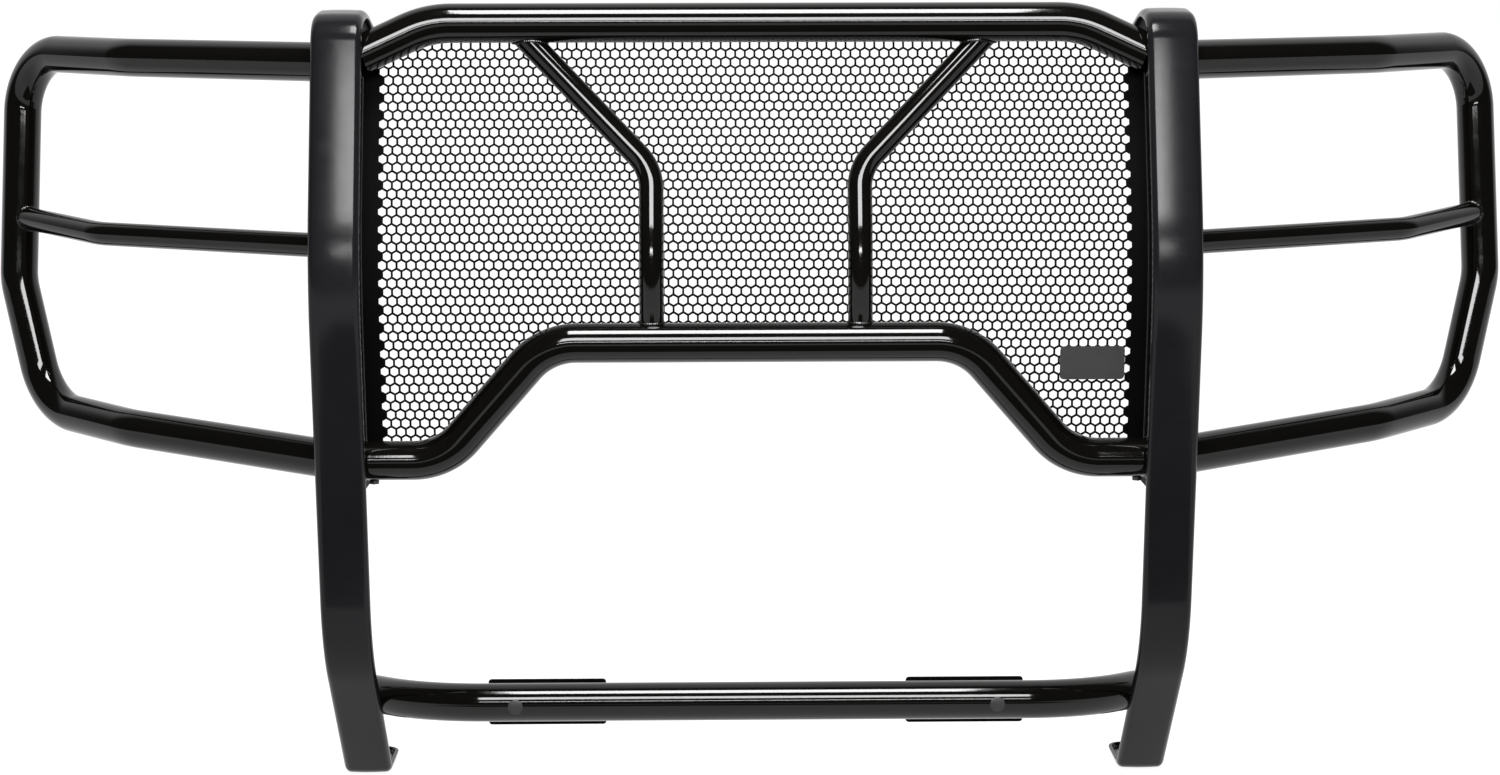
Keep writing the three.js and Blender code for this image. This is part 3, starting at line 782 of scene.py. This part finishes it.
def screen_line(setback):
    """Stations of a sheet's line, following the uprights' lean: length along it, depth and height."""
    heights = (GRILLE_LOW - 2 * TUBE_R, LEAN_HEIGHT, TOP_HEIGHT + 2 * TUBE_R)
    path = bent_path([(at(0, depth_behind(h, setback), h), LEAN_BEND) for h in heights], LINE_STEP)
    points = [p for p, _ in path]
    lengths = [0.0]
    for a, b in zip(points, points[1:]):
        lengths.append(lengths[-1] + (b - a).length / MM)
    return np.array([(length, p.y, p.z) for length, p in zip(lengths, points)])


front_line = screen_line(SCREEN_SETBACK)


def along_sheet(height):
    """Length along the sheet's front, from its lower end, at a height."""
    return float(np.interp((height + HEIGHT_ZERO) * MM, front_line[:, 2], front_line[:, 0]))


def screen_outline():
    """Corners of the sheet laid out flat, and its whole rim with a point every hole or so."""
    half = TOP_CORNERS[0][0] - GAP
    right = [
        GRILLE_CORNERS[2][:2],
        GRILLE_CORNERS[1][:2],
        (half, GRILLE_LOW),
        (half, TOP_CORNERS[0][1]),
        TOP_CORNERS[1][:2],
    ]
    right = [(x, along_sheet(height)) for x, height in right]
    corners = [Vector(c) for c in right + [(-x, s) for x, s in reversed(right)]]
    rim = []
    for a, b in zip(corners, corners[1:] + corners[:1]):
        parts = max(1, round((b - a).length / HOLE_PITCH))
        rim += [a.lerp(b, k / parts) for k in range(parts)]
    return corners, rim


def inside(point, corners):
    """Whether a point lies inside an outline: it does when a line from it crosses an odd number of edges."""
    result = False
    for a, b in zip(corners, corners[1:] + corners[:1]):
        if (a.y > point.y) != (b.y > point.y):
            if point.x < (b.x - a.x) * (point.y - a.y) / (b.y - a.y) + a.x:
                result = not result
    return result


def edge_distance(point, corners):
    """Distance of a point from the nearest edge of an outline."""
    nearest = math.inf
    for a, b in zip(corners, corners[1:] + corners[:1]):
        ab = b - a
        t = min(1, max(0, (point - a).dot(ab) / ab.length_squared))
        nearest = min(nearest, (a + ab * t - point).length)
    return nearest


def hole_centres(corners):
    """Middles of the holes, by column and row of a grid of half pitches."""
    first = along_sheet(FIRST_ROW_HEIGHT)
    columns = int(SCREEN_SIDE / HOLE_PITCH * 2)
    centres = {}
    for row in range(-ROWS_ABOVE, int(first / ROW_PITCH) + 1):
        for column in range(-columns, columns + 1):
            middle = Vector((column * HOLE_PITCH / 2, first - row * ROW_PITCH))
            if (column - row) % 2 == 0 and inside(middle, corners):
                if edge_distance(middle, corners) > SCREEN_MARGIN:
                    centres[(column, row)] = middle
    return centres


def in_hole(offset):
    """Whether a place, counted from the middle of a hole, is inside its hexagon."""
    x, y = abs(offset.x), abs(offset.y)
    return x < HOLE_HALF_WIDTH and y < HOLE_POINT - (HOLE_POINT - HOLE_SHOULDER) * x / HOLE_HALF_WIDTH


def is_metal(middle, corners, centres):
    """Whether a place on the flat sheet is inside its outline and in none of its holes."""
    row = round((along_sheet(FIRST_ROW_HEIGHT) - middle.y) / ROW_PITCH)
    column = round(middle.x / HOLE_PITCH * 2)
    near = [(column + c, row + r) for c in (-1, 0, 1) for r in (-1, 0, 1)]
    if any(key in centres and in_hole(middle - centres[key]) for key in near):
        return False
    return inside(middle, corners)


def grille_screen():
    """The sheet is laid out flat with its holes, filled with triangles and bent to its line."""
    corners, rim = screen_outline()
    centres = hole_centres(corners)
    w, p, s = HOLE_HALF_WIDTH, HOLE_POINT, HOLE_SHOULDER
    hexagon = [Vector(v) for v in ((0, p), (-w, s), (-w, -s), (0, -p), (w, -s), (w, s))]
    points, loops = list(rim), [list(range(len(rim)))]
    for middle in centres.values():
        loops.append(list(range(len(points), len(points) + len(hexagon))))
        points += [middle + v for v in hexagon]
    edges = [(a, b) for loop in loops for a, b in zip(loop, loop[1:] + loop[:1])]
    flat, _, triangles, _, _, _ = delaunay_2d_cdt(points, edges, [], 0, MERGE_DISTANCE)
    middles = [sum((flat[i] for i in t), Vector((0, 0))) / len(t) for t in triangles]
    metal = [t for t, middle in zip(triangles, middles) if is_metal(middle, corners, centres)]
    piece("grille_screen", sheet_mesh(flat, metal), SHEET, "black_screen", "grille_screen")


def sheet_mesh(flat, triangles):
    """Bends flat triangles to the sheet's line and gives them a thickness."""
    bm = bmesh.new()
    used = sorted({i for t in triangles for i in t})
    skins = []
    for line in (front_line, screen_line(SCREEN_SETBACK + SCREEN_THICKNESS)):
        scaled = line[:, 0] * (front_line[-1, 0] / line[-1, 0])
        spot = {i: [float(np.interp(flat[i].y, scaled, line[:, k])) for k in (1, 2)] for i in used}
        skins.append({i: bm.verts.new((flat[i].x * MM, *spot[i])) for i in used})
    front, back = skins
    sides = set()
    for t in triangles:
        bm.faces.new([front[i] for i in t])
        bm.faces.new([back[i] for i in reversed(t)])
        sides.update(zip(t, t[1:] + t[:1]))
    for a, b in sides:
        if (b, a) not in sides:
            bm.faces.new((front[b], front[a], back[a], back[b]))
    return bm


# ---- small parts ----

PLUG_SIDES = 48


def rounded_rectangle(x0, x1, h0, h1, radius):
    corners = [(x0, h0), (x1, h0), (x1, h1), (x0, h1)]
    points = []
    for i, corner in enumerate(corners):
        points += rounded_corner(corner, corners[i - 1], corners[(i + 1) % len(corners)], radius)
    return points


def mounting_plate(name, side):
    """A flat plate against the back of the cross tube."""
    inner, outer, low, high = MOUNT_PLATE
    x0, x1 = sorted((side * inner, side * outer))
    face = CROSS_DEPTH + TUBE_R + GAP
    outline = [at(x, face, h) for x, h in rounded_rectangle(x0, x1, low, high, MOUNT_CORNER_R)]
    slab = bevelled_slab(outline, Vector((0, MOUNT_THICKNESS * MM, 0)), MOUNT_BEVEL)
    # The plate's near-black colour is painted shade.
    piece(f"{name}_mounting_plate", slab, MATTE_PAINTED_SHADE, "satin_black_plate", f"{name}_mounting_plate")


def tube_plug(name, side):
    """Moulded plug that follows the tube's round face, with a soft rim."""
    rings = []
    for r, proud in PLUG_PROFILE:
        ring = []
        for k in range(PLUG_SIDES):
            a = 2 * math.pi * k / PLUG_SIDES
            x, h = r * math.cos(a), r * math.sin(a)
            depth = CROSS_DEPTH - math.sqrt((TUBE_R + proud) ** 2 - h * h)
            ring.append(at(side * PLUG_X + x, depth, CROSS_HEIGHT + h))
        rings.append(ring)
    piece(f"{name}_tube_plug", loft(rings), PLUG_PLASTIC, "black_plug", f"{name}_tube_plug")


def badge():
    """A blank plate on the screen, tilted as the screen is."""
    x, height = BADGE_PLACE
    half_width, half_height = BADGE_SIZE[0] / 2, BADGE_SIZE[1] / 2
    tilt = math.atan(TILT_SLOPE)
    back = depth_behind(height, SCREEN_SETBACK - GAP)
    rise = Vector((0, -math.sin(tilt), math.cos(tilt))) * MM
    flat = rounded_rectangle(x - half_width, x + half_width, -half_height, half_height, BADGE_CORNER_R)
    outline = [at(px, back, height) + rise * v for px, v in flat]
    forward = Vector((0, -math.cos(tilt), -math.sin(tilt))) * (BADGE_THICKNESS * MM)
    slab = bevelled_slab(outline, forward, BADGE_BEVEL, segments=4)
    piece("badge_plate", slab, BADGE_PLASTIC, "badge_black", "badge_plate")


def zinc_hardware():
    """The clamp, bolts and nuts stay as they are in the part, with a zinc finish."""
    names = [f"{label}_{part}" for label, _ in SIDES for part in ("plate_bolt", "plate_nut", "tube_bolt")]
    for name in ["badge_clamp"] + names:
        materials = frame["nodes"][name].data.materials
        materials.clear()
        materials.append(ZINC)


# ---- the guard ----

centre_tubes()
centre_beads()
grille_screen()
badge()
for label, sign in SIDES:
    upright(label, sign)
    side_plate(label, sign)
    brace(label, sign)
    wing(label, sign)
    mounting_plate(label, sign)
    tube_plug(label, sign)
zinc_hardware()


# ---- stage: places and lengths in metres ----

FLOOR_HALF_WIDTH = 60.0
FLOOR_GREYS = (0.18, 0.19)
FLOOR_GLOW = 0.6  # the floor's own light, which keeps it evenly pale
FLOOR_GLOW_BEHIND = 0.95
FLOOR_GLOW_FAR = 0.98
BEHIND = (-0.6, 0.1)  # depths over which the glow behind the guard builds up
FAR = (1.2, 4.0)  # distances over which the glow far away builds up
CARD_SIDE = 1.1
CARD_FRONT = -4.0
CARD_BACK = -0.78
CARD_LIFT = 0.005
DIM_STUDIO = 0.06  # light from in front, next to that from behind
STUDIO_FADE = (0.05, 0.4)  # backward share of a direction over which the dim light turns into the full one
SOFTBOXES = [  # name, place, target, width, height, radiance
    ("overhead", (0, -0.9, 2.9), (0, -0.9, 0), 1.22, 0.95, 34),
    ("front_high", (0, -2.6, 2.08), (0, -0.1, 0.85), 1.72, 0.72, 24),
    ("front_far", (0, -5.6, 1.94), (0, -0.1, 0.6), 2.6, 0.16, 40),
]
CAMERA_PLACE = (-0.054, -3.5045, 1.08)
CAMERA_ANGLES = (90 - 8.8, 0.132, -0.808)
CAMERA_LENS = 62.91
CAMERA_SENSOR = 36


def stage_sheet(name, x, y, height, material):
    """A flat rectangle that belongs to the stage, from its ranges in x and y."""
    bm = bmesh.new()
    corners = ((x[0], y[0]), (x[1], y[0]), (x[1], y[1]), (x[0], y[1]))
    bm.faces.new([bm.verts.new((*corner, height)) for corner in corners])
    mesh = bpy.data.meshes.new(name)
    bm.to_mesh(mesh)
    bm.free()
    mesh.materials.append(material)
    obj = bpy.data.objects.new(name, mesh)
    bpy.context.scene.collection.objects.link(obj)
    return obj


def floor():
    """A pale floor that glows a little more behind the guard and far away, where less light falls on it."""
    n = Nodes("floor_paint")
    low, high = FLOOR_GREYS
    n.link(n.mix(n.noise(3, 2), grey(low), grey(high)), n.shader.inputs["Base Color"])
    n.shader.inputs["Roughness"].default_value = 0.9
    n.shader.inputs["Specular IOR Level"].default_value = 0.1
    n.shader.inputs["Emission Color"].default_value = (1, 1, 1, 1)
    split = n.tree.nodes.new("ShaderNodeSeparateXYZ")
    n.link(n.place, split.inputs[0])
    away = n.tree.nodes.new("ShaderNodeVectorMath")
    away.operation = "LENGTH"
    n.link(n.place, away.inputs[0])
    glow = n.tree.nodes.new("ShaderNodeMath")
    glow.operation = "MAXIMUM"
    n.link(n.spread(split.outputs["Y"], *BEHIND, FLOOR_GLOW, FLOOR_GLOW_BEHIND), glow.inputs[0])
    n.link(n.spread(away.outputs["Value"], *FAR, FLOOR_GLOW, FLOOR_GLOW_FAR), glow.inputs[1])
    n.link(glow.outputs[0], n.shader.inputs["Emission Strength"])
    reach = (-FLOOR_HALF_WIDTH, FLOOR_HALF_WIDTH)
    stage_sheet("floor", reach, reach, 0, n.material)


def dark_card():
    """A black card lying in front of the guard, there for reflections only."""
    black = Nodes("card_black").finish(Base_Color=(*grey(0.02), 1), Roughness=0.9, Specular_IOR_Level=0.05)
    card = stage_sheet("dark_card", (-CARD_SIDE, CARD_SIDE), (CARD_FRONT, CARD_BACK), CARD_LIFT, black)
    for rays in ("camera", "diffuse", "shadow", "transmission", "volume_scatter"):
        setattr(card, f"visible_{rays}", False)


def softbox(name, place, target, width, height, radiance):
    """An area light of an even radiance, which the camera doesn't see."""
    light = bpy.data.lights.new(name, "AREA")
    light.shape = "RECTANGLE"
    light.size, light.size_y = width, height
    light.energy = radiance * math.pi * width * height
    obj = bpy.data.objects.new(name, light)
    obj.location = place
    obj.rotation_euler = (Vector(target) - Vector(place)).to_track_quat("-Z", "Y").to_euler()
    obj.visible_camera = False
    bpy.context.scene.collection.objects.link(obj)


def world():
    """A studio that is white behind the guard, dim in front, and plain white where the camera looks."""
    made = bpy.data.worlds.new("studio")
    made.use_nodes = True
    tree = made.node_tree
    background = tree.nodes["Background"]
    background.inputs["Color"].default_value = (1, 1, 1, 1)
    direction = tree.nodes.new("ShaderNodeTexCoord").outputs["Generated"]
    split = tree.nodes.new("ShaderNodeSeparateXYZ")
    tree.links.new(direction, split.inputs["Vector"])
    fade = tree.nodes.new("ShaderNodeMapRange")
    fade.interpolation_type = "SMOOTHSTEP"
    limits = (*STUDIO_FADE, DIM_STUDIO, 1.0)
    for name, value in zip(("From Min", "From Max", "To Min", "To Max"), limits):
        fade.inputs[name].default_value = value
    tree.links.new(split.outputs["Y"], fade.inputs["Value"])
    seen = tree.nodes.new("ShaderNodeMath")
    seen.operation = "MAXIMUM"
    tree.links.new(fade.outputs["Result"], seen.inputs[0])
    tree.links.new(tree.nodes.new("ShaderNodeLightPath").outputs["Is Camera Ray"], seen.inputs[1])
    tree.links.new(seen.outputs[0], background.inputs["Strength"])
    bpy.context.scene.world = made


def camera():
    """A camera at the photo's viewpoint."""
    data = bpy.data.cameras.new("camera")
    data.lens = CAMERA_LENS
    data.sensor_width = CAMERA_SENSOR
    obj = bpy.data.objects.new("camera", data)
    obj.location = CAMERA_PLACE
    obj.rotation_mode = "XYZ"
    obj.rotation_euler = [math.radians(a) for a in CAMERA_ANGLES]
    bpy.context.scene.collection.objects.link(obj)
    bpy.context.scene.camera = obj


floor()
dark_card()
world()
for box in SOFTBOXES:
    softbox(*box)
camera()
bpy.context.scene.view_settings.view_transform = "Standard"
